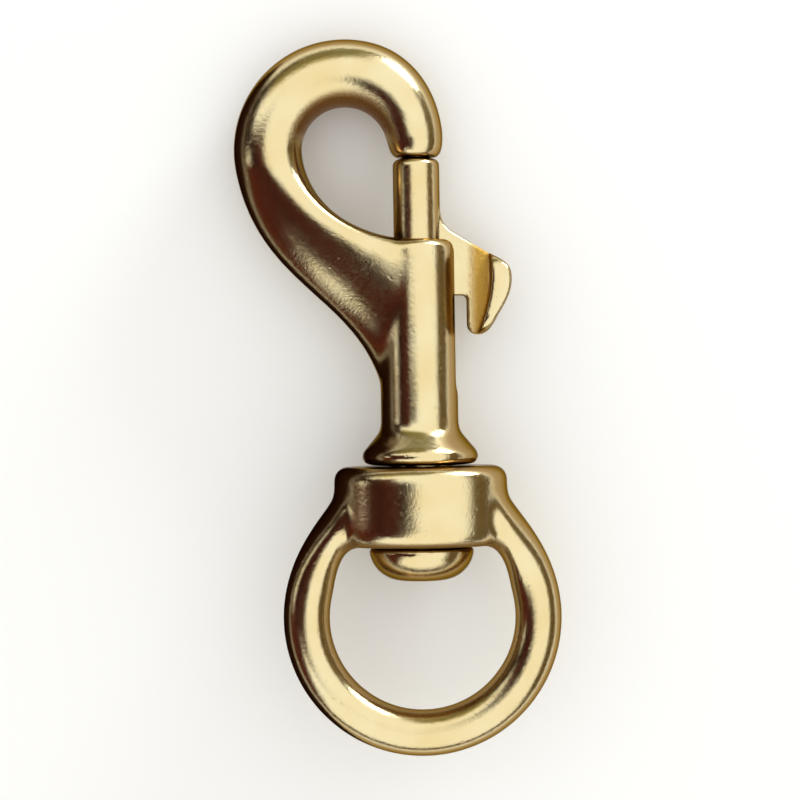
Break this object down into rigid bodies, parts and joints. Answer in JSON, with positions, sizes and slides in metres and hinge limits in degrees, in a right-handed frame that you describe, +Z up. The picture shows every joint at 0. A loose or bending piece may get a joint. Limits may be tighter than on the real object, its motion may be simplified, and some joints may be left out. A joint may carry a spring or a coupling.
{
  "type": "swivel bolt snap hook",
  "caption": "Polished cast brass snap hook: a round bow closed by a spring bolt with a thumb pad, turning on a round-eyed swivel ring.",
  "frame": {"origin": "centre of the ring's eye, on the swivel axis", "axes": "+Y along the swivel axis from the eye towards the hook, +X towards the thumb pad, +Z up out of the hook's plane as it lies on its back"},
  "size_m": [0.0434, 0.0969, 0.018],
  "materials": {
    "polished_brass": "polished casting",
    "cast_brass": "polished, with as-cast hollows",
    "spring_steel": "drawn wire"
  },
  "bodies": {
    "hook": {"hook_body": "polished_brass", "bolt_spring": "spring_steel"},
    "bolt": {"latch_bolt": "cast_brass"},
    "ring": {"swivel_ring": "polished_brass"}
  },
  "joints": [
    {"name": "bolt_slide", "type": "slide", "parent": "hook", "child": "bolt", "axis": [0, -1, 0], "range_m": [0, 0.011], "stiffness_N_per_m": 400, "springref_m": -0.006, "deforming": ["bolt_spring"]},
    {"name": "ring_swivel", "type": "hinge", "parent": "hook", "child": "ring", "pos_m": [0, 0, 0], "axis": [0, 1, 0], "continuous": true}
  ]
}
